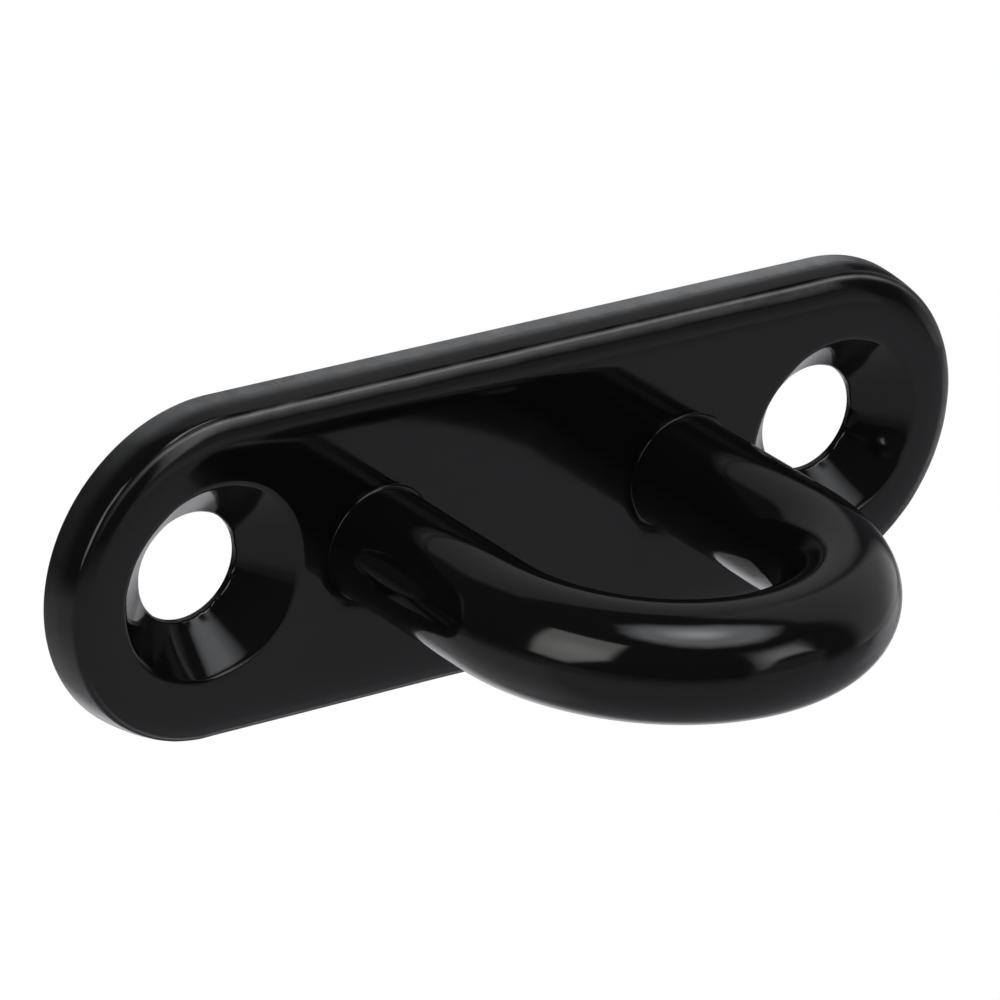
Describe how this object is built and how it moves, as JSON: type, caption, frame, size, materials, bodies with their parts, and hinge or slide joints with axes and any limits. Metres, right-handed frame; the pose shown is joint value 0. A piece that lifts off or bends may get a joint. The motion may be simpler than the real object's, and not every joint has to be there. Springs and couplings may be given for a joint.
{
  "type": "pad eye",
  "caption": "Fixed oblong pad eye: round-ended plate with countersunk screw holes and a welded U-shaped bar eye, gloss black coat.",
  "frame": {"origin": "centre of the plate's back face, the face that goes against the wall", "axes": "+X along the plate, +Y out of the back face into the wall, +Z across the plate, so the eye stands out towards -Y"},
  "size_m": [0.0744, 0.0329, 0.024],
  "materials": {
    "plate_coat": "gloss black coat on steel plate",
    "eye_coat": "gloss black coat on round steel bar",
    "weld_coat": "satin black coat over ground weld"
  },
  "bodies": {
    "root": {"base_plate": "plate_coat", "eye_loop": "eye_coat", "weld_left": "weld_coat", "weld_right": "weld_coat"}
  },
  "joints": []
}
